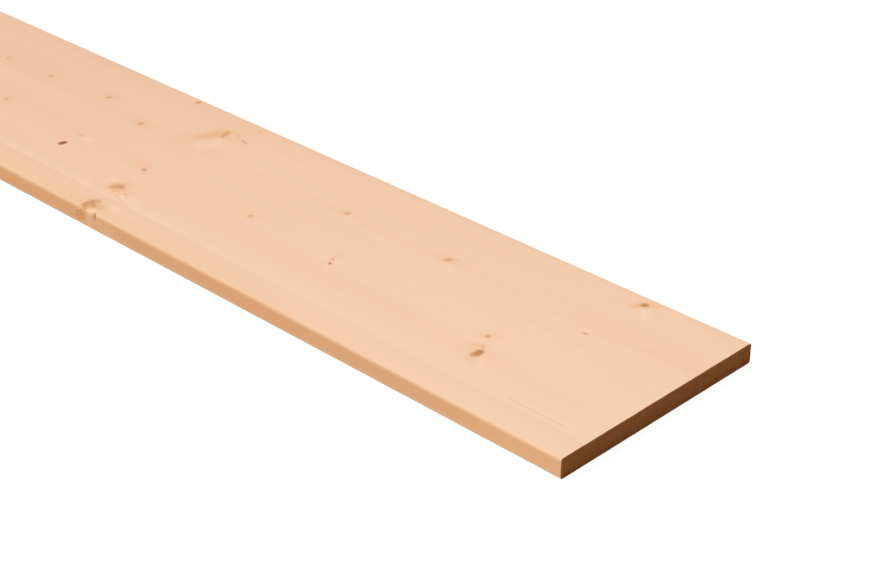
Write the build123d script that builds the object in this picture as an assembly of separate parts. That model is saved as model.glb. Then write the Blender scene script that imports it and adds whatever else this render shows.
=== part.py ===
from build123d import *
import os

# A planed softwood board, sawn from one piece and lying flat.
# Millimetres. X runs along the grain, Y across the width, +Z up.
# The origin is the middle of the underside.

# Driving dimensions
LENGTH = 2000.0
WIDTH = 225.0
THICKNESS = 18.0
ARRIS_RADIUS = 2.0  # the easing of the four long edges; the sawn ends stay sharp


def board_section():
    """The planed section, standing on Z = 0 and centred on Y = 0."""
    return Plane.YZ * Pos(0, THICKNESS / 2) * RectangleRounded(WIDTH, THICKNESS, ARRIS_RADIUS)


def plank():
    """The section carried along the grain, half its length each way from X = 0."""
    return extrude(board_section(), amount=LENGTH / 2, both=True)


SUB_PARTS = {
    "plank": plank,
}

os.makedirs("parts", exist_ok=True)
for node, make in SUB_PARTS.items():
    export_step(make(), f"parts/{node}.step")
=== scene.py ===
import math
from collections import namedtuple
from functools import partial, reduce

import bpy
import numpy as np
from mathutils import Matrix, Vector
from mathutils.geometry import delaunay_2d_cdt


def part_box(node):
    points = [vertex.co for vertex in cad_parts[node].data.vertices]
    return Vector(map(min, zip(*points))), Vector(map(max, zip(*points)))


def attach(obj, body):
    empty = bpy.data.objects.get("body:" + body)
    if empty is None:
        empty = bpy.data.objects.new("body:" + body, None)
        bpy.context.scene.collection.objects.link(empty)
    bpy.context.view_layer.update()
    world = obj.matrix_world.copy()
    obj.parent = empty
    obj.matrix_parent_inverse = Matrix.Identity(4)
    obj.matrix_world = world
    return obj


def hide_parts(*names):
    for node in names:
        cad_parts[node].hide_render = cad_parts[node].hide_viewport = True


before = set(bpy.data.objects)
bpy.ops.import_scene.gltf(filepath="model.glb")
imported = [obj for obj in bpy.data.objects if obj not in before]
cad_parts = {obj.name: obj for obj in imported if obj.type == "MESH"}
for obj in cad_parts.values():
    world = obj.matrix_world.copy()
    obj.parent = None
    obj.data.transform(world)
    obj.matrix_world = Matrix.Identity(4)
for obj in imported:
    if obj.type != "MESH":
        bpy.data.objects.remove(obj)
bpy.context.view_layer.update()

# A planed spruce board lying flat. Lengths are in millimetres until the mesh is written in metres.
# X runs along the grain towards the near end, Y across the width, Z up from the underside.

# A millimetre in metres, and the decimals of one to which places are rounded, so that equal ones meet
MM = 0.001
DECIMALS = 3
low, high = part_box("plank")
LENGTH, WIDTH, THICKNESS = (round(side / MM, DECIMALS) for side in high - low)
TOP = THICKNESS
HALF_LENGTH = LENGTH / 2
HALF_WIDTH = WIDTH / 2
ARRIS_RADIUS = 2.0
FLAT_HALF_WIDTH = HALF_WIDTH - ARRIS_RADIUS

# How near to a face or an end a vertex is that lies on it
TOUCH = 0.01


# The tree

# Its pith runs along the board, below it and nearer the front edge
PITH_Y = -77.0
PITH_Z = -46.0

# A branch is this share as thick at the pith as at the top face, and thickens on a little beyond the face
BRANCH_ROOT = 0.3
BRANCH_LONGEST = 1.2

# How far a knot is felt along the grain, in its half lengths
KNOT_REACH = 5

# Knots, each a branch from the pith, given where it meets the top face: its half sizes there along and
# across the grain, how far it leans towards +X for each mm outwards, the strength of its brown heart and
# of its brown rim, how red and how gold it is, and how strongly it tints the wood round it
Knot = namedtuple("Knot", "x y along across lean heart rim red gold halo")
KNOTS = [
    # The whorl that shows
    Knot(331.5, 105.3, 2.7, 3.0, 0.10, 0.74, 0.0, 0.80, 0.60, 0.20),
    Knot(400.5, 67.0, 8.5, 20.0, 0.40, 0.0, 0.0, 0.62, 0.66, 0.20),
    Knot(406.8, 77.0, 5.0, 8.5, -0.10, 0.30, 0.0, 0.50, 1.30, 0.10),
    Knot(312.3, -44.2, 3.2, 4.4, 0.05, 2.05, 0.1, 0.65, 1.35, 0.10),
    Knot(413.6, -26.3, 2.0, 2.0, 0.10, 1.00, 0.0, 0.35, 0.40, 0.25),
    Knot(424.5, -65.0, 7.5, 8.5, 0.15, 0.20, 0.0, 0.35, 0.45, 0.25),
    Knot(435.0, -102.8, 7.4, 9.8, 0.10, 0.33, 0.06, 0.28, 0.50, 0.25),
    # Single small knots of the same stretch
    Knot(258, 51.5, 3.2, 3.9, 0.10, 0.42, 0.0, 0.25, 0.55, 0.40),
    Knot(173, 42.5, 2.9, 3.6, 0.10, 0.20, 0.0, 0.45, 0.25, 0.30),
    Knot(331, 34.5, 3.2, 3.9, 0.10, 0.36, 0.0, 0.35, 0.85, 0.45),
    Knot(102, 40.5, 2.6, 3.2, 0.10, 0.26, 0.0, 0.30, 0.22, 0.30),
    Knot(188, -21.5, 2.6, 3.4, 0.10, 0.24, 0.0, 0.32, 0.60, 0.30),
    # Between the whorl and the near end
    Knot(612.4, 43.3, 3.1, 3.8, 0.10, 0.28, 0.0, 0.45, 0.18, 0.40),
    Knot(735, 44.3, 3.8, 4.2, 0.10, 0.28, 0.0, 0.60, 0.62, 0.35),
    Knot(555, -19.5, 2.8, 3.4, 0.10, 0.28, 0.0, 0.38, 0.28, 0.35),
    Knot(902.5, 100.0, 3.9, 3.7, 0.10, 0.93, 0.0, 0.40, 1.40, 0.35),
    Knot(897.5, 32.5, 3.3, 1.9, 0.10, 0.30, 0.0, 0.40, 0.68, 0.10),
    Knot(845.4, -24.2, 2.8, 2.9, 0.10, 0.36, 0.0, 0.42, 0.50, 0.35),
    Knot(857.1, -48.4, 3.7, 5.9, 0.05, 0.80, 0.1, 0.50, 0.95, 0.25),
    # The part of the board that the photo cuts off
    Knot(-118, -88, 5.2, 6.0, 0.20, 0.28, 0.06, 0.30, 0.50, 0.35),
    Knot(-96, -34, 6.8, 7.8, 0.20, 0.26, 0.05, 0.35, 0.45, 0.35),
    Knot(-84, 22, 3.1, 3.8, 0.20, 1.15, 0.1, 0.35, 0.75, 0.20),
    Knot(-131, 84, 6.0, 14.0, 0.40, 0.10, 0.0, 0.55, 0.70, 0.30),
    Knot(-42, 60, 1.8, 1.9, 0.10, 0.30, 0.0, 0.30, 0.30, 0.20),
    Knot(-214, 8, 2.0, 2.1, 0.10, 0.30, 0.0, 0.35, 0.25, 0.20),
    Knot(-263, -61, 3.6, 4.4, 0.10, 1.40, 0.2, 0.40, 0.85, 0.20),
    Knot(-297, 91, 2.2, 2.4, 0.10, 0.38, 0.0, 0.30, 0.45, 0.20),
    Knot(-352, 37, 1.9, 2.0, 0.10, 0.28, 0.0, 0.35, 0.20, 0.20),
    Knot(-404, -99, 2.5, 2.6, 0.10, 0.50, 0.0, 0.40, 0.50, 0.20),
    Knot(-446, -18, 1.7, 1.8, 0.10, 0.28, 0.0, 0.25, 0.35, 0.20),
    Knot(-489, 69, 2.8, 3.1, 0.10, 0.38, 0.0, 0.45, 0.60, 0.20),
    Knot(-598, -71, 7.6, 8.4, 0.20, 0.28, 0.06, 0.35, 0.55, 0.35),
    Knot(-612, -9, 4.2, 5.0, 0.20, 1.45, 0.2, 0.40, 0.90, 0.20),
    Knot(-627, 49, 6.4, 11.0, 0.40, 0.12, 0.0, 0.50, 0.80, 0.30),
    Knot(-585, 102, 3.0, 3.3, 0.10, 0.70, 0.0, 0.50, 0.70, 0.25),
    Knot(-702, -42, 1.8, 1.9, 0.10, 0.30, 0.0, 0.30, 0.30, 0.20),
    Knot(-741, 78, 2.2, 2.4, 0.10, 0.32, 0.0, 0.45, 0.55, 0.20),
    Knot(-796, 12, 3.3, 4.2, 0.10, 0.90, 0.2, 0.45, 0.85, 0.25),
    Knot(-829, -93, 2.1, 2.2, 0.10, 0.38, 0.0, 0.30, 0.40, 0.20),
    Knot(-883, 44, 1.9, 2.0, 0.10, 0.30, 0.0, 0.35, 0.25, 0.20),
    Knot(-931, -57, 3.8, 4.3, 0.10, 0.62, 0.2, 0.45, 0.75, 0.25),
]

# Streaks, specks, tears and cracks: a soft line between two points, with its half width, how much brown,
# red and gold it adds, where less than nothing is a pale place, and how deep it cuts if it cuts at all
Mark = namedtuple("Mark", "start end radius brown red gold depth", defaults=(0.0,))


def on_top(start, end, *look):
    """A mark between two places (x, y) on the top face."""
    return Mark((*start, TOP), (*end, TOP), *look)


def on_front(start, end, *look):
    """A mark between two places (x, z) on the front edge."""
    (x0, z0), (x1, z1) = start, end
    return Mark((x0, -HALF_WIDTH, z0), (x1, -HALF_WIDTH, z1), *look)


MARKS = [
    # In and round the oblique knot of the whorl
    on_top((403.5, 83.5), (406.0, 80.5), 3.4, -0.02, -0.35, 0.45),
    on_top((409.6, 70.6), (411.0, 69.8), 1.7, 0.42, 0.15, 0.15, 0.1),
    on_top((412.0, 73.5), (410.5, 79.0), 1.2, 0.12, 0.10, 0.10),
    on_top((430.8, 78.0), (438.5, 75.9), 0.9, 0.45, 0.05, 0.10, 0.1),
    on_top((417.5, 83.0), (420.0, 82.0), 1.8, 0.18, 0.20, 0.20, 0.05),
    on_top((424.0, 77.0), (428.0, 76.0), 3.0, 0.0, 0.15, 0.18),
    on_top((463.0, 88.5), (505.0, 86.5), 1.0, 0.10, 0.0, 0.05),
    on_top((512.0, 87.0), (521.0, 83.0), 1.0, 0.08, 0.0, 0.05),
    on_top((426.0, 104.5), (429.5, 101.5), 0.9, 0.25, 0.05, 0.05, 0.05),
    on_top((411.0, 44.0), (420.0, 58.0), 7.0, -0.07, -0.08, -0.09),
    on_top((404.0, 52.0), (412.0, 62.0), 4.0, -0.03, -0.05, -0.06),
    on_top((383.0, 30.5), (390.0, 30.0), 0.9, 0.10, 0.05, 0.05),
    on_top((424.0, 34.0), (429.0, 33.0), 0.9, 0.10, 0.0, 0.0),
    # The small knot by the back edge and the red trail of the small dark one
    on_top((334.0, 105.0), (337.5, 106.0), 2.4, -0.10, 0.45, 0.30),
    on_top((396.0, -22.5), (410.0, -22.5), 4.5, -0.10, 0.42, 0.25),
    on_top((410.0, -19.5), (414.0, -20.0), 2.6, 0.0, 0.25, 0.12),
    on_top((416.0, -29.0), (419.0, -32.0), 2.6, 0.12, -0.10, 0.0),
    on_top((395.0, -38.0), (425.0, -42.0), 5.0, -0.04, 0.0, 0.0),
    # In and round the two knots at the front
    on_top((425.5, -62.2), (429.8, -63.6), 2.5, 0.20, 0.62, 0.15),
    on_top((420.5, -69.0), (423.0, -67.0), 3.6, 0.17, 0.15, 0.15),
    on_top((417.5, -62.0), (419.5, -71.0), 1.0, 0.14, 0.0, 0.05, 0.1),
    on_top((440.5, -68.5), (442.8, -69.5), 1.0, 0.28, 0.30, 0.20, 0.1),
    on_top((430.0, -73.0), (436.0, -70.0), 3.6, -0.02, 0.20, 0.35),
    on_top((418.5, -57.5), (419.5, -61.5), 2.6, 0.14, -0.42, 0.22),
    on_top((415.8, -60.0), (416.0, -66.0), 2.2, 0.0, -0.22, 0.20),
    on_top((425.0, -55.5), (431.0, -54.5), 2.6, 0.10, -0.14, 0.20),
    on_top((429.0, -83.0), (433.0, -83.0), 3.2, 0.02, -0.28, 0.0),
    on_top((410.0, -58.0), (408.0, -68.0), 4.0, -0.07, -0.08, -0.09),
    on_top((437.5, -77.0), (449.0, -80.8), 0.9, 0.12, 0.05, 0.05),
    on_top((449.0, -80.8), (466.0, -84.5), 0.8, 0.07, 0.0, 0.0),
    on_top((441.0, -74.5), (452.0, -77.5), 1.4, -0.07, -0.05, -0.05),
    on_top((452.0, -70.0), (462.0, -73.0), 3.0, -0.06, -0.05, -0.05),
    on_top((431.0, -97.5), (436.0, -94.0), 1.8, 0.12, 0.15, 0.10, 0.1),
    on_top((432.0, -99.5), (431.5, -106.0), 2.8, 0.16, -0.08, 0.15, 0.05),
    Mark((433.0, -107.5, TOP), (437.0, -111.0, 17.8), 1.7, 0.28, 0.35, 0.45, 0.05),
    on_top((435.5, -99.5), (436.5, -102.5), 1.8, 0.14, -0.08, 0.12),
    on_top((440.0, -103.0), (442.0, -104.6), 1.9, 0.36, 0.10, 0.25, 0.1),
    on_top((437.6, -98.0), (438.6, -99.5), 1.0, -0.15, 0.0, 0.0),
    on_top((444.0, -101.0), (448.5, -102.0), 2.4, 0.13, 0.10, 0.14),
    on_top((441.0, -97.5), (450.0, -99.5), 1.0, 0.12, 0.0, 0.10),
    on_top((443.0, -108.0), (449.0, -109.5), 2.4, -0.08, 0.08, 0.06),
    on_top((452.0, -92.0), (462.0, -96.0), 4.5, -0.06, -0.08, -0.09),
    on_top((449.0, -96.5), (452.0, -98.0), 2.4, 0.08, -0.20, 0.10),
    on_top((423.0, -105.2), (423.8, -105.4), 1.1, 0.14, 0.05, 0.05),
    on_top((431.5, -110.0), (429.9, -105.0), 1.2, 0.13, 0.08, 0.10, 0.1),
    on_top((429.9, -105.0), (431.5, -98.7), 1.2, 0.15, 0.08, 0.10, 0.1),
    on_top((431.5, -98.7), (437.7, -95.0), 1.2, 0.17, 0.05, 0.10, 0.1),
    on_front((426.0, 11.0), (433.0, 14.5), 1.1, 0.25, 0.20, 0.10, 0.05),
    on_front((424.5, 7.0), (436.5, 12.0), 1.2, 0.28, 0.20, 0.10, 0.05),
    on_front((427.5, 4.0), (436.0, 8.0), 1.1, 0.24, 0.15, 0.10, 0.05),
    on_front((434.5, 3.0), (440.5, 6.5), 1.6, 0.10, -0.25, 0.15),
    on_front((444.0, 15.0), (443.0, 4.0), 4.2, -0.12, -0.20, -0.25),
    on_front((452.0, 12.0), (474.0, 6.0), 7.0, -0.05, -0.10, -0.25),
    # The crack that runs over the front arris
    Mark((452.3, -111.5, TOP), (453.2, -HALF_WIDTH, 16.0), 1.1, 0.85, 0.15, 0.25, 0.4),
    on_front((453.2, 16.0), (452.0, 12.0), 1.0, 0.60, 0.15, 0.25, 0.4),
    # The slanting crack in the middle, with its red root and a painted highlight on its lip
    on_top((663.8, -21.5), (665.8, -23.8), 1.6, 0.18, 0.65, 0.05, 0.05),
    on_top((668.3, -29.1), (668.9, -29.6), 1.4, 1.05, 1.0, 0.25, 0.25),
    # A painted highlight on the crack's lip
    on_top((666.2, -26.0), (667.4, -27.0), 0.8, -0.16, -0.05, -0.05),
    on_top((665.8, -27.5), (667.2, -28.8), 0.7, 0.25, 0.20, 0.10),
    on_top((669.0, -32.0), (673.0, -38.0), 3.0, -0.06, 0.0, 0.0),
    on_top((663.4, -19.0), (664.2, -13.0), 2.4, -0.04, 0.40, 0.0),
    # The oval knot near the end: its dark upper rim, its red tip and the torn grain behind it
    on_top((855.6, -44.6), (858.8, -44.2), 1.7, 0.55, -0.60, 0.05),
    on_top((857.0, -51.5), (857.6, -53.0), 1.8, 0.0, 0.20, 0.05),
    on_top((861.0, -50.0), (861.2, -53.0), 1.4, 0.08, 0.20, 0.20),
    on_top((860.2, -46.5), (860.6, -50.0), 0.9, 0.10, 0.0, 0.10, 0.1),
    on_top((854.4, -53.0), (855.4, -54.0), 1.3, 0.30, 0.10, 0.15),
    on_top((857.8, -55.5), (858.6, -58.0), 2.8, 0.05, 0.35, 0.35),
    on_top((847.5, -41.0), (853.0, -37.5), 3.4, 0.06, 0.15, 0.60, 0.1),
    on_top((846.5, -41.4), (849.5, -44.0), 0.6, -0.18, -0.15, -0.18),
    on_top((848.8, -39.4), (850.6, -41.2), 0.6, -0.14, -0.15, -0.18),
    on_top((850.0, -44.2), (852.5, -46.7), 0.7, 0.10, 0.10, 0.12, 0.1),
    on_top((853.4, -38.4), (856.0, -40.8), 0.8, 0.22, 0.10, 0.12, 0.1),
    on_top((866.0, -52.0), (870.0, -58.0), 3.5, -0.05, 0.0, 0.0),
    # Trails of the smaller knots
    on_top((302.5, -36.5), (306.5, -39.5), 3.0, -0.13, 0.52, 0.05),
    on_top((308.5, -40.0), (309.5, -44.0), 1.6, -0.05, 0.35, 0.0),
    on_top((314.0, -47.5), (313.5, -46.5), 1.5, 0.20, 0.10, 0.0),
    on_top((318.0, -50.0), (324.0, -52.0), 2.6, -0.06, 0.05, 0.0),
    on_top((307.0, -22.0), (315.0, -21.2), 1.6, 0.17, 0.05, 0.05),
    on_top((320.0, -23.0), (326.0, -21.0), 3.0, -0.06, -0.06, -0.06),
    on_top((614.0, 41.5), (619.0, 43.0), 2.8, -0.14, 0.22, 0.05),
    on_top((617.0, 38.0), (624.0, 34.0), 3.0, -0.05, -0.05, -0.05),
    on_top((738.5, 47.5), (741.0, 49.5), 1.6, 0.10, 0.15, 0.38),
    on_top((731.5, 41.5), (729.0, 40.0), 2.4, 0.0, 0.25, 0.15),
    on_top((742.0, 38.0), (750.0, 33.0), 3.6, -0.05, -0.05, -0.05),
    on_top((845.0, -13.0), (844.0, -2.0), 2.6, 0.01, 0.10, 0.10),
    on_top((848.5, -21.5), (852.0, -17.0), 3.0, -0.04, 0.25, 0.50),
    on_top((897.0, 92.0), (900.0, 96.0), 3.0, 0.02, 0.42, 0.48),
    on_top((903.0, 105.0), (906.0, 108.0), 2.4, 0.06, 0.18, 0.50),
    on_top((905.5, 101.0), (907.5, 102.5), 2.0, 0.06, 0.28, 0.15),
    on_top((909.0, 105.5), (920.0, 109.0), 3.0, 0.03, 0.20, 0.25),
    on_top((908.0, 92.0), (916.0, 84.0), 4.0, -0.06, -0.05, -0.05),
    on_top((878.0, 89.5), (888.0, 88.8), 0.9, 0.08, 0.0, 0.0),
    on_top((905.0, 36.0), (921.0, 35.6), 0.9, 0.07, 0.0, 0.0),
    # Streaks that run out at the near end
    on_top((917.0, -79.3), (973.0, -79.0), 0.9, 0.10, 0.12, 0.15),
    on_top((925.0, -76.8), (985.0, -76.6), 0.9, -0.05, 0.0, 0.0),
    on_top((930.0, -69.3), (967.0, -69.0), 0.8, 0.08, 0.0, 0.0),
    on_top((875.0, 56.0), (935.0, 54.0), 6.0, 0.01, 0.04, 0.05),
    on_top((950.0, 51.0), (1000.0, 48.5), 3.0, 0.02, 0.08, 0.09),
    on_top((958.0, 55.5), (1000.0, 54.0), 0.9, 0.05, 0.05, 0.05),
    on_top((941.0, 46.5), (990.0, 44.5), 0.9, 0.05, 0.05, 0.05),
    # Dark rims and red hearts of the larger knots that the photo cuts off, and pale wood beside them
    on_top((-121.5, -85.5), (-117.5, -83.8), 1.8, 0.25, 0.10, 0.15, 0.1),
    on_top((-117.0, -89.0), (-115.0, -90.0), 2.4, 0.08, 0.30, 0.10),
    on_top((-101.5, -31.5), (-97.0, -28.5), 2.0, 0.25, 0.05, 0.15, 0.1),
    on_top((-95.0, -35.0), (-92.5, -36.5), 2.6, 0.10, 0.35, 0.12),
    on_top((-84.0, -30.0), (-76.0, -32.0), 4.0, -0.06, -0.06, -0.06),
    on_top((-133.0, 90.0), (-130.0, 94.0), 2.2, 0.25, 0.10, 0.60, 0.1),
    on_top((-604.0, -68.0), (-599.0, -64.8), 2.0, 0.28, 0.05, 0.15, 0.1),
    on_top((-597.0, -72.0), (-595.0, -74.0), 2.8, 0.10, 0.35, 0.12),
    on_top((-586.0, -66.0), (-578.0, -69.0), 4.0, -0.06, -0.06, -0.06),
    on_top((-629.0, 53.0), (-626.0, 56.0), 2.0, 0.25, 0.10, 0.50, 0.1),
    # A long slightly darker zone with the whorl at its far end
    on_top((470.0, -40.0), (960.0, -42.0), 12.0, 0.01, 0.015, 0.015),
]


def to_line(points, start, end):
    """Each point's distance from the line between two points."""
    start, end = np.array(start, float), np.array(end, float)
    along = end - start
    share = np.clip((points - start) @ along / (along @ along), 0, 1)
    return np.linalg.norm(points - start - share[:, None] * along, axis=1)


def to_knot(points, knot):
    """Each point's offset from the branch's middle line, in branch radii, so that 1 is its rim."""
    out = np.array([0.0, knot.y - PITH_Y, TOP - PITH_Z])
    reach = np.linalg.norm(out)
    stretched = reach / (TOP - PITH_Z)
    face = np.array([knot.x, knot.y, TOP])
    branch = out + np.array([knot.lean * reach, 0, 0])
    length = np.linalg.norm(branch)
    along = (points - face) @ branch / length
    offset = points - face - along[:, None] * branch / length
    grown = np.clip(1 + along / length, 0, BRANCH_LONGEST)
    thickness = BRANCH_ROOT + (1 - BRANCH_ROOT) * grown
    across = knot.across / stretched
    return offset / np.array([knot.along, across, across]) / thickness[:, None]


def knots_near(points, reach):
    """Each knot with the points within reach of it along the grain."""
    for knot in KNOTS:
        furthest = reach + KNOT_REACH * knot.along + knot.lean * WIDTH
        near = np.abs(points[:, 0] - knot.x) < furthest
        if near.any():
            yield knot, near


# The mesh: points stand close together where there is detail, and Delaunay triangles join them

# The largest cell of the flats, how often it may be halved, and the largest step along the edges
CELL = 10.0
HALVINGS = 4
FINEST_CELL = CELL / 2**HALVINGS
EDGE_CELL = 5.0

# How many faces go round an arris and down a long edge
ARRIS_STEPS = 4
SIDE_STEPS = 12

# The grid of the ends, and the cells beside them
END_GRID = 1.6
END_EDGE_CELL = 1.25

# How much larger a cell may be for each mm further from a detail or from an end, and how far from a
# detail cells are as large as they get
CELL_GROWTH = 0.55
END_CELL_GROWTH = 0.6
DETAIL_REACH = 2 * CELL

# The cells at a detail, as shares of a knot's half length and of a mark's half width, and out to how many
# of its radii a knot has them
KNOT_CELL = 0.3
MARK_CELL = 0.7
KNOT_COVER = 1.2

# How near two points are that count as one, and which triangles are kept: all, or those inside the rim
SAME_POINT = 1e-5
ALL = 0
INSIDE_RIM = 1


def cell_size(points):
    """How large a mesh cell may be at each point."""
    size = np.full(len(points), CELL)
    for knot, near in knots_near(points, DETAIL_REACH):
        away = np.linalg.norm(to_knot(points[near], knot), axis=1) - KNOT_COVER
        finest = max(KNOT_CELL * knot.along, FINEST_CELL)
        grown = finest + CELL_GROWTH * knot.along * np.maximum(away, 0)
        size[near] = np.minimum(size[near], grown)
    for mark in MARKS:
        reach = DETAIL_REACH + mark.radius
        near = points[:, 0] > min(mark.start[0], mark.end[0]) - reach
        near &= points[:, 0] < max(mark.start[0], mark.end[0]) + reach
        away = to_line(points[near], mark.start, mark.end) - mark.radius
        finest = max(MARK_CELL * mark.radius, FINEST_CELL)
        size[near] = np.minimum(size[near], finest + CELL_GROWTH * np.maximum(away, 0))
    from_end = HALF_LENGTH - np.abs(points[:, 0])
    return np.minimum(size, END_EDGE_CELL + END_CELL_GROWTH * from_end)


def edge_profile(side):
    """(y, z) over the long edge at side -1 or 1, from the top's flat round to the underside's."""
    turns = np.radians(np.linspace(90, 0, ARRIS_STEPS + 1))
    drops = np.linspace(THICKNESS - ARRIS_RADIUS, ARRIS_RADIUS, SIDE_STEPS + 1)[1:-1]
    profile = [(math.cos(a), TOP - ARRIS_RADIUS + ARRIS_RADIUS * math.sin(a)) for a in turns]
    profile += [(1.0, z) for z in drops]
    profile += [(math.cos(a), ARRIS_RADIUS - ARRIS_RADIUS * math.sin(a)) for a in turns[::-1]]
    return [(side * (FLAT_HALF_WIDTH + ARRIS_RADIUS * out), z) for out, z in profile]


def stations(side):
    """Where cross-lines stand along a long edge, close together beside detail."""
    count = round(LENGTH / FINEST_CELL)
    middles = (np.arange(count) + 0.5) * FINEST_CELL - HALF_LENGTH
    profile = np.array(edge_profile(side))
    points = np.column_stack([np.repeat(middles, len(profile)), np.tile(profile, (count, 1))])
    sizes = np.minimum(cell_size(points), EDGE_CELL).reshape(count, -1).min(axis=1)
    steps = 2**HALVINGS
    pending = [(first, first + steps) for first in range(0, count, steps)][::-1]
    kept = []
    while pending:
        first, last = pending.pop()
        if last - first > 1 and sizes[first:last].min() < (last - first) * FINEST_CELL:
            middle = (first + last) // 2
            pending += [(middle, last), (first, middle)]
        else:
            kept.append(first)
    return [index * FINEST_CELL - HALF_LENGTH for index in kept + [count]]


def flat_points(z, front_stations, back_stations):
    """Points on the flat of the top or underside, as corners of cells halved down to their size."""
    rows = round(2 * FLAT_HALF_WIDTH / CELL)
    cell = np.array([CELL, 2 * FLAT_HALF_WIDTH / rows])
    columns = np.arange(round(LENGTH / CELL))
    grid = np.array(np.meshgrid(columns, np.arange(rows))).reshape(2, -1).T + 0.5
    centres = grid * cell - np.array([HALF_LENGTH, FLAT_HALF_WIDTH])
    quadrants = np.array([(-1, -1), (-1, 1), (1, -1), (1, 1)])
    corners = set()
    for halving in range(HALVINGS + 1):
        size = cell / 2**halving
        wanted = cell_size(np.column_stack([centres, np.full(len(centres), z)]))
        split = (wanted < size[0]) & (halving < HALVINGS)
        for quadrant in quadrants:
            corners.update(map(tuple, np.round(centres[~split] + quadrant * size / 2, DECIMALS)))
        centres = np.concatenate([centres[split] + quadrant * size / 4 for quadrant in quadrants])
    inside = [corner for corner in corners if abs(corner[1]) < FLAT_HALF_WIDTH - FINEST_CELL / 2]
    edges = [(x, -FLAT_HALF_WIDTH) for x in front_stations]
    edges += [(x, FLAT_HALF_WIDTH) for x in back_stations]
    return sorted(inside) + edges


def triangles(points, rim=()):
    """Delaunay triangles over 2-D points, kept inside the rim's loop of points if there is one."""
    flat = [Vector(point) for point in points]
    loops = [list(rim)] if rim else []
    made = delaunay_2d_cdt(flat, [], loops, INSIDE_RIM if rim else ALL, SAME_POINT)
    faces, origins = made[2:4]
    return [[origins[corner][0] for corner in face] for face in faces]


class Shell:
    """Faces over vertices that are welded by their place."""

    def __init__(self):
        self.vertices = {}
        self.faces = []
        self.parts = []

    def add(self, part, corners):
        keys = [tuple(np.round(corner, DECIMALS).tolist()) for corner in corners]
        self.faces.append([self.vertices.setdefault(key, len(self.vertices)) for key in keys])
        self.parts.append(part)


def add_long_edge(shell, side, along):
    profile = edge_profile(side)
    for x0, x1 in zip(along, along[1:]):
        for (y0, z0), (y1, z1) in zip(profile, profile[1:]):
            corners = [(x0, y0, z0), (x0, y1, z1), (x1, y1, z1), (x1, y0, z0)]
            shell.add("long_edge", corners[::-side])


def add_flat(shell, part, z, front_stations, back_stations):
    """The flat of a face, and the places of its points along the two ends."""
    points = flat_points(z, front_stations, back_stations)
    turn = 1 if part == "top" else -1
    for face in triangles(points):
        shell.add(part, [(*points[corner], z) for corner in face[::turn]])
    return {end: sorted(y for x, y in points if x == end * HALF_LENGTH) for end in (-1, 1)}


def add_end(shell, end, top_places, underside_places):
    rim = [(y, TOP) for y in top_places]
    rim += edge_profile(1)[1:-1]
    rim += [(y, 0.0) for y in underside_places[::-1]]
    rim += edge_profile(-1)[-2:0:-1]
    across = np.arange(END_GRID - HALF_WIDTH, HALF_WIDTH - END_GRID / 2, END_GRID)
    upwards = np.arange(END_GRID, THICKNESS - END_GRID / 2, END_GRID)
    points = rim + [(float(y), float(z)) for y in across for z in upwards]
    part = "near_end" if end > 0 else "far_end"
    for face in triangles(points, range(len(rim))):
        shell.add(part, [(end * HALF_LENGTH, *points[corner]) for corner in face[::end]])


def board_shell():
    shell = Shell()
    front_stations, back_stations = stations(-1), stations(1)
    add_long_edge(shell, -1, front_stations)
    add_long_edge(shell, 1, back_stations)
    top_places = add_flat(shell, "top", TOP, front_stations, back_stations)
    underside_places = add_flat(shell, "underside", 0.0, front_stations, back_stations)
    for end in (-1, 1):
        add_end(shell, end, top_places[end], underside_places[end])
    return shell


# What the tree, the planer and the saw left at each vertex

# A knot pushes the rings aside by its half length times this, and tints the wood round it red and gold.
# Each falls to about a third at its reach, which is in the knot's radii and longer along the grain.
RING_PUSH = 1.4
PUSH_REACH = 1.5
TINT_REACH = 1.9
TINT = np.array([0, 0.4, 0.7])
ALONG_SQUEEZED = np.array([0.45, 1.0, 1.0])

# How many mm along the grain a knot is felt, and how many radii away it counts as where none is
FIELDS_REACH = 60.0
FAR_FROM_KNOTS = 9.0

# The heart is a little hollow, and a ditch runs round it, whose half width is a share of the knot's
# radius. It is as deep as the knot is hard, by the brown of its rim and a share of that of its heart.
HOLLOW_DEPTH = 0.08
DITCH_DEPTH = 0.15
DITCH_HALF_WIDTH = 0.2
SHARE_OF_HEART = 0.3

# How deep wear, the saw and torn fibres go, how much more or less than that, and over which lengths
Cut = namedtuple("Cut", "depth unevenness lengths phase")
ARRIS_WEAR = Cut(0.14, 0.12, (213, 87, 41, 23), 0.7)
SAW_TOOTH = Cut(0.10, 0.06, (3.1, 1.3), 0.4)
SPLINTERS = Cut(0.12, 0.12, (17, 7.3, 3.1, 1.9), 0.2)

# How far the wear of the front and back arrises is shifted each way, so that they differ, and how much
# the saw's tooth and the splinters lean sideways for each mm upwards
WEAR_SHIFT = 40
TOOTH_SLANT = 0.2
SPLINTER_SLANT = 3


def fading(distance, reach):
    """1 at no distance, and about a third at the reach."""
    return np.exp(-((distance / reach) ** 2))


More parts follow.
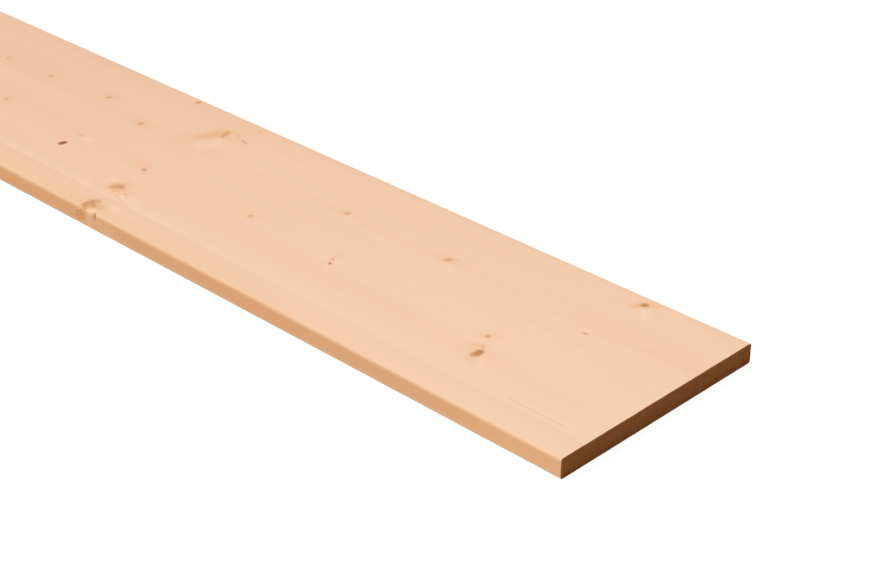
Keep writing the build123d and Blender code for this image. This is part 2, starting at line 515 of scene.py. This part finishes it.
def grain_fields(points):
    """By name: the distance to the nearest knot in its radii, the stain of its heart and the brown of its
    rim, how far the rings are pushed aside, and the stain round knots and in marks. And how deep knots and
    marks cut."""
    count = len(points)
    distance = np.full(count, FAR_FROM_KNOTS)
    heart = np.zeros((count, 3))
    rim = np.zeros(count)
    push = np.zeros(count)
    stain = np.zeros((count, 3))
    depth = np.zeros(count)
    for knot, near in knots_near(points, FIELDS_REACH):
        offset = to_knot(points[near], knot)
        away = np.linalg.norm(offset, axis=1)
        squeezed = np.linalg.norm(offset * ALONG_SQUEEZED, axis=1)
        push[near] += RING_PUSH * knot.along * fading(squeezed, PUSH_REACH)
        stain[near] += knot.halo * fading(squeezed, TINT_REACH)[:, None] * TINT
        closer = np.flatnonzero(near)[away < distance[near]]
        distance[closer] = away[away < distance[near]]
        heart[closer] = (knot.heart, knot.red, knot.gold)
        rim[closer] = knot.rim
        depth[near] += HOLLOW_DEPTH * np.clip(1 - away**2, 0, 1) * min(knot.heart, 1)
        hardness = min(knot.rim + SHARE_OF_HEART * knot.heart, 1)
        depth[near] += DITCH_DEPTH * hardness * fading(away - 1, DITCH_HALF_WIDTH)
    for mark in MARKS:
        share = fading(to_line(points, mark.start, mark.end), mark.radius)
        stain += share[:, None] * np.array([mark.brown, mark.red, mark.gold])
        depth += mark.depth * share
    fields = {"knot_distance": distance, "knot_heart": heart, "knot_rim": rim}
    return fields | {"ring_push": push, "stain": stain}, depth


def outward(points):
    """The section's normal at each vertex, which turns round the arrises, and none inside the ends."""
    core_y = np.clip(points[:, 1], -FLAT_HALF_WIDTH, FLAT_HALF_WIDTH)
    core_z = np.clip(points[:, 2], ARRIS_RADIUS, THICKNESS - ARRIS_RADIUS)
    out = np.column_stack([np.zeros(len(points)), points[:, 1] - core_y, points[:, 2] - core_z])
    length = np.linalg.norm(out, axis=1)
    on_skin = length > ARRIS_RADIUS - TOUCH
    return np.where(on_skin[:, None], out / np.maximum(length, TOUCH)[:, None], 0.0)


def uneven(cut, values):
    """A cut's depth at each value, uneven in a smooth wave made of sines of unlike lengths."""
    sines = [np.sin(values * math.tau / length + cut.phase * length) for length in cut.lengths]
    return cut.depth + cut.unevenness * sum(sines) / len(sines)


def relief(points, depth):
    """Where the vertices go: cut in by knots and marks, worn along the arrises, rough where the saw went."""
    x, y, z = points.T
    normal = outward(points)
    on_arris = 2 * np.abs(normal[:, 1] * normal[:, 2])
    wear = on_arris * uneven(ARRIS_WEAR, x + WEAR_SHIFT * np.sign(y))
    placed = points - normal * (depth + wear)[:, None]
    at_end = np.abs(x) > HALF_LENGTH - TOUCH
    on_rim = normal.any(axis=1)
    sawn = uneven(SAW_TOOTH, y + TOOTH_SLANT * z) + on_rim * uneven(SPLINTERS, y + SPLINTER_SLANT * z)
    placed[:, 0] -= np.sign(x) * at_end * sawn
    return placed


# The unrolled layout, in millimetres that are pixels of a 1024 pixel sheet: each half of the top and
# underside with its arrises, then the long edges, then both ends side by side

SHEET = 1024.0
GAP = 4.0
MARGIN = 12.0
ARC = ARRIS_RADIUS * math.pi / 2


def strips():
    """The height up the sheet at which each strip starts."""
    flat = 2 * (FLAT_HALF_WIDTH + ARC)
    edge_shade = THICKNESS - 2 * ARRIS_RADIUS
    heights = {f"{face}_{half}": flat for face in ("top", "underside") for half in "ab"}
    heights |= {f"{face}_{half}": edge_shade for face in ("front", "back") for half in "ab"}
    heights["ends"] = THICKNESS
    starts = np.cumsum([GAP / 2] + [height + GAP for height in heights.values()])
    return dict(zip(heights, starts.tolist()))


def across_strip(y, z, is_top):
    """How far across the top's or underside's strip a point is, from the strip's middle."""
    centre = THICKNESS - ARRIS_RADIUS if is_top else ARRIS_RADIUS
    turn = math.atan2(max(abs(y) - FLAT_HALF_WIDTH, 0.0), abs(z - centre))
    return math.copysign(min(abs(y), FLAT_HALF_WIDTH) + turn * ARRIS_RADIUS, y)


def layout_of(part, corners, starts):
    """Where a face's corners lie on the sheet."""
    if part.endswith("_end"):
        left = MARGIN if part == "near_end" else MARGIN + WIDTH + GAP
        return [(left + HALF_WIDTH + y, starts["ends"] + z) for x, y, z in corners]
    xs, ys, zs = zip(*corners)
    half = "a" if sum(xs) < 0 else "b"
    left = MARGIN + (HALF_LENGTH if half == "a" else 0.0)
    middle = sum(zs) / len(zs)
    if part == "long_edge" and ARRIS_RADIUS < middle < THICKNESS - ARRIS_RADIUS:
        start = starts[("front_" if ys[0] < 0 else "back_") + half]
        return [(left + x, start + z - ARRIS_RADIUS) for x, y, z in corners]
    is_top = middle > THICKNESS / 2
    start = starts[("top_" if is_top else "underside_") + half] + FLAT_HALF_WIDTH + ARC
    return [(left + x, start + across_strip(y, z, is_top)) for x, y, z in corners]


def add_layout(mesh, shell, places):
    starts = strips()
    uvs = []
    for part, face in zip(shell.parts, shell.faces):
        uvs += layout_of(part, [places[corner] for corner in face], starts)
    mesh.uv_layers.new(name="OFBake").data.foreach_set("uv", (np.array(uvs) / SHEET).ravel())


# Edges that turn by more degrees than this are sharp
SHARP_ANGLE = 35.0


def plank_object():
    shell = board_shell()
    places = list(shell.vertices)
    points = np.array(places)
    fields, depth = grain_fields(points)

    mesh = bpy.data.meshes.new("plank_wood")
    mesh.from_pydata(relief(points, depth) * MM, [], shell.faces)
    add_layout(mesh, shell, places)
    for name, values in fields.items():
        if values.ndim == 1:
            mesh.attributes.new(name, "FLOAT", "POINT").data.foreach_set("value", values)
        else:
            mesh.attributes.new(name, "FLOAT_VECTOR", "POINT").data.foreach_set("vector", values.ravel())

    mesh.materials.append(long_grain_material())
    mesh.materials.append(end_grain_material())
    mesh.polygons.foreach_set("material_index", [int(part.endswith("_end")) for part in shell.parts])
    mesh.polygons.foreach_set("use_smooth", [True] * len(shell.faces))
    mesh.set_sharp_from_angle(angle=math.radians(SHARP_ANGLE))
    piece = bpy.data.objects.new("plank_wood", mesh)
    bpy.context.scene.collection.objects.link(piece)
    return piece


# Materials


class Graph:
    """A node tree that grows by calls, each of which adds a node and gives its output."""

    def __init__(self, tree):
        self.tree = tree
        tree.nodes.clear()

    def add(self, kind, inputs=(), **settings):
        """A node with its settings, and its inputs fed by name or number."""
        node = self.tree.nodes.new(kind)
        for name, value in settings.items():
            setattr(node, name, value)
        for name, value in dict(inputs).items():
            self.feed(node.inputs[name], value)
        return node

    def feed(self, socket, value):
        """Links a socket to another node's output, or sets it to a number, place or colour."""
        if isinstance(value, bpy.types.NodeSocket):
            self.tree.links.new(value, socket)
        else:
            socket.default_value = value

    def math(self, operation, *values):
        return self.add("ShaderNodeMath", enumerate(values), operation=operation).outputs[0]

    def plus(self, *values):
        return reduce(partial(self.math, "ADD"), values)

    def times(self, *values):
        return reduce(partial(self.math, "MULTIPLY"), values)

    def minus(self, first, second):
        return self.math("SUBTRACT", first, second)

    def weighed(self, amounts, weights):
        """The sum of the amounts that have a weight, each times its own."""
        return self.plus(*(self.times(amounts[name], weight) for name, weight in weights.items()))

    def ease(self, value, start, end, to_start=0.0, to_end=1.0):
        """A value eased from one number to another as the given one goes from start to end."""
        inputs = enumerate((value, start, end, to_start, to_end))
        return self.add("ShaderNodeMapRange", inputs, interpolation_type="SMOOTHSTEP").outputs[0]

    def band(self, value, start, full, fading, end):
        """A value that rises from 0 to 1 between the first two limits, and falls between the last two."""
        return self.times(self.ease(value, start, full), self.ease(value, fading, end, 1.0, 0.0))

    def vector(self, x, y, z):
        return self.add("ShaderNodeCombineXYZ", {0: x, 1: y, 2: z}).outputs[0]

    def parts(self, vector):
        return tuple(self.add("ShaderNodeSeparateXYZ", {0: vector}).outputs)

    def vector_math(self, operation, *values):
        return self.add("ShaderNodeVectorMath", enumerate(values), operation=operation).outputs[0]

    def summed(self, *vectors):
        return reduce(partial(self.vector_math, "ADD"), vectors)

    def scaled(self, vector, factors):
        """A vector with each of its parts multiplied by its own factor."""
        return self.vector_math("MULTIPLY", vector, factors)

    def layered(self, vector, amount):
        """A vector multiplied by one amount."""
        return self.scaled(vector, self.vector(amount, amount, amount))

    def noise(self, place, kind):
        """Noise from -0.5 to 0.5, as one of the Noise values describes it."""
        inputs = {"Vector": self.scaled(place, kind.waves), "Scale": 1.0}
        inputs |= {"Detail": kind.detail, "Roughness": kind.roughness}
        return self.minus(self.add("ShaderNodeTexNoise", inputs).outputs[0], 0.5)

    def mixed(self, share, first, second):
        """The first colour at a share of 0, the second at 1. The node has them at its sockets 6 and 7."""
        return self.add("ShaderNodeMix", {0: share, 6: first, 7: second}, data_type="RGBA").outputs[2]

    def attribute(self, name, output="Fac"):
        return self.add("ShaderNodeAttribute", attribute_name=name).outputs[output]

    def bump(self, height, distance, strength):
        inputs = {"Height": height, "Distance": distance, "Strength": strength}
        return self.add("ShaderNodeBump", inputs).outputs[0]

    def looked_at(self):
        """1 for a ray that sees what it hits, also mirrored, and 0 for one that gathers light from it."""
        path = self.add("ShaderNodeLightPath").outputs
        rays = self.plus(path["Is Camera Ray"], path["Is Glossy Ray"], path["Is Transmission Ray"])
        return self.math("MINIMUM", rays, 1.0)


# What varies in the wood: about how many waves it has to the mm along x, y and z, how many finer layers
# lie over them, and how strong each is beside the one before
Noise = namedtuple("Noise", "waves detail roughness", defaults=(2.0, 0.5))
PITH_WANDERS = Noise((0.0016, 0.0, 0.0))
UNEVEN_RINGS = Noise((0.0035, 0.022, 0.022))
FIBRE = Noise((0.035, 1.7, 1.7), 3.0, 0.6)
CLOUDS = Noise((0.006, 0.03, 0.03))
HUES = Noise((0.008, 0.035, 0.035))
RAGGED_KNOTS = Noise((0.35, 0.35, 0.35))
PATCHY_RIMS = Noise((0.16, 0.16, 0.16))
PORES = Noise((1.0, 1.3, 1.3), 3.0, 0.7)
KERF_LINES = Noise((1.0, 1.1, 0.12), 3.0, 0.65)
BLOTCHES = Noise((1.0, 0.12, 0.2))
END_HUES = Noise((1.0, 0.06, 0.14))
FRAYING = Noise((1.0, 0.16, 0.3))
# These two are read by a ring's radius in place of x, and the tone by x in place of y
RING_DRIFTS = Noise((0.06, 1.0, 1.0))
TONES = Noise((0.09, 0.0012, 1.0))

# The rings, how far the pith and their radius stray, and how much the trunk tapers for each mm
RING_WIDTH = 2.3
PITH_WANDER = 9.0
RADIUS_WANDER = 5.0
TAPER = 0.0035
# By how many rings they drift out of step, and the row of noise that this is read from
DRIFT = 3.0
DRIFT_ROW = 3.0
# The late part of a year, from 0 at its start to 1 at its end, and the least late wood that a year has
LATE_WOOD = (0.35, 0.93, 0.93, 1.0)
LEAST_LATE_WOOD = 0.35


def growth(graph, place):
    """How late in its year the wood at a point grew, and the slow change of tone from ring to ring."""
    x, y, z = graph.parts(place)
    wander = graph.times(graph.noise(place, PITH_WANDERS), PITH_WANDER)
    sideways = graph.minus(graph.minus(y, PITH_Y), wander)
    upwards = graph.minus(z, PITH_Z)
    squares = graph.plus(graph.times(sideways, sideways), graph.times(upwards, upwards))
    stray = graph.times(graph.noise(place, UNEVEN_RINGS), RADIUS_WANDER)
    radius = graph.plus(graph.math("SQRT", squares), stray, graph.times(x, TAPER))
    radius = graph.minus(radius, graph.attribute("ring_push"))
    drift = graph.noise(graph.vector(radius, DRIFT_ROW, 0.0), RING_DRIFTS)
    ring = graph.plus(graph.times(radius, 1 / RING_WIDTH), graph.times(drift, DRIFT))
    late = graph.band(graph.math("FRACT", ring), *LATE_WOOD)
    year = graph.add("ShaderNodeTexWhiteNoise", {"W": graph.math("FLOOR", ring)}, noise_dimensions="1D")
    amount = graph.plus(graph.times(year.outputs["Value"], 1 - LEAST_LATE_WOOD), LEAST_LATE_WOOD)
    tone = graph.noise(graph.vector(radius, x, 0.0), TONES)
    return graph.times(late, amount), tone


# Distances in a knot are in its radii. Its outline is ragged by this much, and it fades out between two
# distances, the first of them later by a multiple of its brown rim.
RAGGEDNESS = 0.5
KNOT_FADES = (0.1, 1.35)
LATER_BY_RIM = 2.5
LATER_AT_MOST = 0.5
# Its own rings, in radians to the radius, and how much darker or paler they are
KNOT_RINGS = 17.0
KNOT_RING_BROWN = 0.10
# Its rim, and how patchy that is by the strength of the noise
RIM = (0.62, 0.92, 0.95, 1.2)
RIM_PATCHES = (-0.15, 0.15, 0.4, 1.3)


def knot_stain(graph, place):
    """The stain of the knot at a point, and how far inside a knot the point is."""
    ragged = graph.times(graph.noise(place, RAGGED_KNOTS), RAGGEDNESS)
    distance = graph.plus(graph.attribute("knot_distance"), ragged)
    rim_brown = graph.attribute("knot_rim")
    later = graph.math("MINIMUM", graph.times(rim_brown, LATER_BY_RIM), LATER_AT_MOST)
    fades_from, fades_to = KNOT_FADES
    inside = graph.ease(distance, graph.plus(fades_from, later), fades_to, 1.0, 0.0)
    waves = graph.math("SINE", graph.times(distance, KNOT_RINGS))
    rings = graph.plus(graph.times(waves, KNOT_RING_BROWN), 1.0)
    heart = graph.layered(graph.attribute("knot_heart", "Vector"), inside)
    patchy = graph.ease(graph.noise(place, PATCHY_RIMS), *RIM_PATCHES)
    rim = graph.times(graph.band(distance, *RIM), rim_brown, patchy)
    stain = graph.summed(graph.scaled(heart, graph.vector(rings, 1.0, 1.0)), graph.vector(rim, 0.0, 0.0))
    return stain, inside


# What one layer of each stain takes from the wood's red, green and blue light
BROWN = (0.50, 0.82, 1.12)
RED = (0.03, 0.30, 0.34)
GOLD = (0.01, 0.06, 0.42)

# A wood's finish: its clean colour, the layers of brown, red and gold that each part of its figure and of
# its painted shade adds where it is strongest, its roughness and what a part adds to that, and its relief,
# as the height of each part, how many mm a height of 1 is, and how strongly it shades
Finish = namedtuple("Finish", "clean stains roughness rougher heights relief strength")
PLANED = Finish(
    clean=(0.870, 0.600, 0.420),
    stains={
        "late": (0.018, 0.019, 0.0228),
        "tone": (0.06, 0.15, 0.18),
        "fibre": (0.042, 0.0, 0.0),
        "cloud": (0.06, 0.0, 0.0),
        "far": (0.115, 0.065, 0.078),
        "back": (0.036, 0.0, 0.0),
        # Painted shade: the long edges darker and more orange where they face sideways
        "edge_shade": (0.235, 0.0, 0.37),
        "border": (0.0, 0.08, 0.28),
        "nick": (-0.03, 0.0, 0.0),
        "dull": (0.026, 0.0, 0.0),
        "stripe": (-0.045, 0.0, -0.06),
        "hue": (0.0, 0.12, -0.12),
        # Hue that varies only where the long edges have painted shade
        "hue_in_edge_shade": (0.0, 0.15, -0.15),
    },
    roughness=0.58,
    rougher={"fibre": 0.12, "knot": -0.12},
    heights={"late": 0.35, "fibre": 0.65, "nick": 0.5},
    relief=0.06,
    strength=0.6,
)
SAWN = Finish(
    # The end grain's own darker brown, made darker and more saturated still by painted shade
    clean=(0.406, 0.190, 0.065),
    stains={
        "late": (0.10, 0.075, 0.09),
        "tone": (0.0, 0.10, 0.12),
        "pores": (0.50, 0.0, 0.0),
        "kerf": (0.58, 0.0, 0.0),
        "blotch": (0.40, 0.0, 0.0),
        "hue": (0.0, 1.8, 0.0),
        "frayed": (-0.50, 0.50, 0.35),
        # Painted shade along the back edge of each end
        "back_edge_shade": (0.25, 0.0, 0.0),
    },
    roughness=0.78,
    rougher={"pores": 0.15},
    heights={"kerf": 0.7, "pores": 0.5, "late": 0.2},
    relief=0.3,
    strength=0.8,
)
# How strongly both mirror light
SPECULAR = 0.2


def stained(graph, wood, stain):
    """The wood's colour under layers of brown, red and gold stain."""
    layers = zip((BROWN, RED, GOLD), graph.parts(stain))
    taken = graph.summed(*(graph.layered(shade, amount) for shade, amount in layers))
    left = [graph.math("EXPONENT", graph.times(channel, -1.0)) for channel in graph.parts(taken)]
    return graph.scaled(wood, graph.vector(*left))


def apply_finish(graph, look, figure_and_shade, *own_stains):
    """Adds the shader at the top of a wood's material, from its figure, painted shade and the stains of
    knots and marks.
    """
    stains = [graph.layered(shade, figure_and_shade[name]) for name, shade in look.stains.items()]
    shader = graph.add("ShaderNodeBsdfPrincipled", {"Specular IOR Level": SPECULAR})
    colour = stained(graph, look.clean, graph.summed(*stains, *own_stains))
    graph.feed(shader.inputs["Base Color"], colour)
    roughness = graph.plus(graph.weighed(figure_and_shade, look.rougher), look.roughness)
    graph.feed(shader.inputs["Roughness"], roughness)
    bump = graph.bump(graph.weighed(figure_and_shade, look.heights), look.relief * MM, look.strength)
    graph.feed(shader.inputs["Normal"], bump)
    graph.add("ShaderNodeOutputMaterial", {"Surface": shader.outputs[0]})


def new_material(name):
    material = bpy.data.materials.new(name)
    material.use_nodes = True
    return material, Graph(material.node_tree)


def millimetres(graph):
    return graph.scaled(graph.add("ShaderNodeTexCoord").outputs["Object"], (1 / MM, 1 / MM, 1 / MM))


# Where the planed faces change, in mm: between which two places, and what share there is at the first and
# at the second where that isn't 0 and 1. The edge's turn is in the sideways part of the surface's normal.
TO_FAR_END = (1000.0, -100.0)
TO_BACK = (-40.0, 70.0)
# The long edges' painted shade grows as the surface turns sideways. It is full in the middle of the edge,
# less near both arrises and less beside the near end
EDGE_TURN = (0.5, 1.0)
EDGE_FROM_MIDDLE = (3.5, THICKNESS / 2 - 1.0, 1.0, 0.2)
EDGE_TO_NEAR_END = (870.0, 965.0, 1.0, 0.65)
WIDE_BORDER = (-88.0, 2.0 - HALF_WIDTH)
WIDE_BORDER_ALONG = (960.0, 320.0)
NARROW_BORDER = (4.5 - HALF_WIDTH, 0.5 - HALF_WIDTH, 0.0, 0.65)
STRIPE_TO_NEAR_END = (380.0, 800.0, 1.0, 0.2)
# The line of the nick, and what lies across the board from it
NICK_Y = -83.0
NICK = (0.2, 1.1, 1.0, 0.0)
DULL_BAND = (-13.0, -4.0, -2.0, -0.4)
PALE_STRIPE = (-1.8, 0.2, 2.0, 13.0)


def planer_figure(graph, x, y):
    """One faint raised line along the board, left by a nick in the planer's knife, with a dull band in
    front of it and a paler stripe behind, which fades towards the near end."""
    from_nick = graph.minus(y, NICK_Y)
    stripe = graph.times(graph.band(from_nick, *PALE_STRIPE), graph.ease(x, *STRIPE_TO_NEAR_END))
    return {
        "nick": graph.ease(graph.math("ABSOLUTE", from_nick), *NICK),
        "dull": graph.band(from_nick, *DULL_BAND),
        "stripe": stripe,
    }


def edge_shade_and_border(graph, x, y, z):
    """Painted shade on the planed long edges: darker and more orange where they face sideways, less along
    the arrises and beside the near end. And the faces' border along the front, which is wide towards the far
    end."""
    normal = graph.parts(graph.add("ShaderNodeNewGeometry").outputs["Normal"])
    # The long edges are painted darker and more orange as they turn sideways: painted shade
    turned = graph.ease(graph.math("ABSOLUTE", normal[1]), *EDGE_TURN)
    from_middle = graph.math("ABSOLUTE", graph.minus(z, THICKNESS / 2))
    # The painted shade is full in the middle of the edge and less towards both arrises
    shade_in_middle = graph.ease(from_middle, *EDGE_FROM_MIDDLE)
    edge_shade = graph.times(turned, shade_in_middle, graph.ease(x, *EDGE_TO_NEAR_END))
    wide = graph.times(graph.ease(y, *WIDE_BORDER), graph.ease(x, *WIDE_BORDER_ALONG))
    border = graph.math("MAXIMUM", wide, graph.ease(y, *NARROW_BORDER))
    return {"edge_shade": edge_shade, "border": graph.times(border, graph.minus(1.0, edge_shade))}


def long_grain_material():
    """Planed long grain: rings, fibre and soft clouds, darker towards the far end and the back, with painted
    shade on the long edges.
    """
    material, graph = new_material("planed_long_grain")
    place = millimetres(graph)
    x, y, z = graph.parts(place)
    late, tone = growth(graph, place)
    stain, inside = knot_stain(graph, place)
    figure_and_shade = {
        "late": late,
        "tone": tone,
        "knot": inside,
        "fibre": graph.noise(place, FIBRE),
        "cloud": graph.noise(place, CLOUDS),
        "hue": graph.noise(place, HUES),
        "far": graph.ease(x, *TO_FAR_END),
        "back": graph.ease(y, *TO_BACK),
    }
    figure_and_shade |= planer_figure(graph, x, y) | edge_shade_and_border(graph, x, y, z)
    # Hue that varies only where the long edges have painted shade
    figure_and_shade["hue_in_edge_shade"] = graph.times(figure_and_shade["hue"], figure_and_shade["edge_shade"])
    apply_finish(graph, PLANED, figure_and_shade, stain, graph.attribute("stain", "Vector"))
    return material


# Where the sawn ends change, in mm
TOP_FIBRES = (TOP - 2.4, TOP - 0.6)
FRONT_FIBRES = (2.6 - HALF_WIDTH, 0.4 - HALF_WIDTH)
# Where the painted shade along the back edge of the ends starts and is full
BACK_EDGE_SHADE = (HALF_WIDTH - 15.0, HALF_WIDTH - 10.0)
# How strong the loose fibres are, by the strength of the noise
FRAYED = (-0.2, 0.2, 0.55, 1.35)


def end_grain_material():
    """Rough sawn end grain, with a paler, redder line of loose fibres along its top and front, and painted
    shade along its back edge."""
    material, graph = new_material("sawn_end_grain")
    place = millimetres(graph)
    y, z = graph.parts(place)[1:]
    late, tone = growth(graph, place)
    stain = knot_stain(graph, place)[0]
    fibres = graph.math("MAXIMUM", graph.ease(z, *TOP_FIBRES), graph.ease(y, *FRONT_FIBRES))
    figure_and_shade = {
        "late": late,
        "tone": tone,
        "pores": graph.noise(place, PORES),
        "kerf": graph.noise(place, KERF_LINES),
        "blotch": graph.noise(place, BLOTCHES),
        "hue": graph.noise(place, END_HUES),
        "frayed": graph.times(fibres, graph.ease(graph.noise(place, FRAYING), *FRAYED)),
        # Painted shade along the back edge
        "back_edge_shade": graph.ease(y, *BACK_EDGE_SHADE),
    }
    apply_finish(graph, SAWN, figure_and_shade, stain)
    return material


# Stage, light and camera

# The floor reaches this many metres each way and lies this many mm below the board. It is seen as a glow
# over a dull grey that takes the shadow, and lights the board with a warmer colour.
FLOOR_HALF_SIZE = 20.0
FLOOR_DROP = 0.2
FLOOR_SEEN = (0.12, 0.12, 0.12, 1.0)
FLOOR_BOUNCE = (0.66, 0.42, 0.22, 1.0)
FLOOR_WHITE = 0.935
WHITE = (1.0, 1.0, 1.0, 1.0)

# The soft light comes from one side, and eases off between two cosines of the angle from there
STUDIO_SIDE = Vector((-0.93, -0.25, 0.25)).normalized()
STUDIO_BRIGHT = (1.557, 1.556, 1.532, 1.0)
STUDIO_DIM = (0.08, 0.05, 0.03, 1.0)
STUDIO_FALL_OFF = (-0.3, 0.5)

# A weak sun, with its angle across in degrees
KEY_FROM = Vector((-0.45, -0.30, 0.84))
KEY_STRENGTH = 0.5
KEY_ANGLE = 20.0

# The camera's place in metres, its turns in degrees, and its lens and sensor in mm
CAMERA_PLACE = Vector((1.74856, -0.99908, 0.80838))
CAMERA_AZIMUTH = 44.6007
CAMERA_ELEVATION = 29.3852
CAMERA_ROLL = -0.1546
CAMERA_LENS = 81.254
CAMERA_SENSOR = 36.0


def floor_object():
    """A plain floor that looks white, keeps the board's shadow and throws some light back up."""
    material, graph = new_material("plain_floor")
    looked_at = graph.looked_at()
    lit = graph.add("ShaderNodeBsdfDiffuse", {"Color": graph.mixed(looked_at, FLOOR_BOUNCE, FLOOR_SEEN)})
    white = graph.add("ShaderNodeEmission", {"Strength": graph.times(looked_at, FLOOR_WHITE)})
    both = graph.add("ShaderNodeAddShader", {0: lit.outputs[0], 1: white.outputs[0]})
    graph.add("ShaderNodeOutputMaterial", {"Surface": both.outputs[0]})
    mesh = bpy.data.meshes.new("floor")
    corners = [(-1, -1), (1, -1), (1, 1), (-1, 1)]
    places = [(x * FLOOR_HALF_SIZE, y * FLOOR_HALF_SIZE, -FLOOR_DROP * MM) for x, y in corners]
    mesh.from_pydata(places, [], [(0, 1, 2, 3)])
    mesh.materials.append(material)
    floor = bpy.data.objects.new("floor", mesh)
    bpy.context.scene.collection.objects.link(floor)
    return floor


def studio_light():
    """A broad soft light from the far left, over a world that looks white."""
    world = bpy.data.worlds.new("studio")
    bpy.context.scene.world = world
    world.use_nodes = True
    graph = Graph(world.node_tree)
    looked_at = graph.looked_at()
    towards = graph.add("ShaderNodeTexCoord").outputs["Generated"]
    facing = graph.add("ShaderNodeVectorMath", {0: towards, 1: STUDIO_SIDE}, operation="DOT_PRODUCT")
    soft = graph.ease(facing.outputs["Value"], *STUDIO_FALL_OFF)
    light = graph.mixed(soft, STUDIO_DIM, STUDIO_BRIGHT)
    background = graph.add("ShaderNodeBackground", {"Color": graph.mixed(looked_at, light, WHITE)})
    graph.add("ShaderNodeOutputWorld", {"Surface": background.outputs[0]})


def key_light():
    light = bpy.data.lights.new("key", "SUN")
    light.energy = KEY_STRENGTH
    light.angle = math.radians(KEY_ANGLE)
    lamp = bpy.data.objects.new("key", light)
    lamp.rotation_euler = KEY_FROM.to_track_quat("Z", "Y").to_euler()
    bpy.context.scene.collection.objects.link(lamp)


def camera():
    azimuth, elevation, roll = map(math.radians, (CAMERA_AZIMUTH, CAMERA_ELEVATION, CAMERA_ROLL))
    right = Vector((math.cos(azimuth), math.sin(azimuth), 0))
    level_back = Vector((math.sin(azimuth), -math.cos(azimuth), 0))
    back = level_back * math.cos(elevation) + Vector((0, 0, math.sin(elevation)))
    level = Matrix((right, back.cross(right), back)).transposed()
    turned = level @ Matrix.Rotation(roll, 3, "Z")
    data = bpy.data.cameras.new("camera")
    data.sensor_width = CAMERA_SENSOR
    data.lens = CAMERA_LENS
    made = bpy.data.objects.new("camera", data)
    made.matrix_world = Matrix.Translation(CAMERA_PLACE) @ turned.to_4x4()
    bpy.context.scene.collection.objects.link(made)
    bpy.context.scene.camera = made


bpy.context.scene.view_settings.view_transform = "Standard"
camera()
studio_light()
key_light()
floor_object()

plank = plank_object()
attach(plank, "root")
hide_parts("plank")
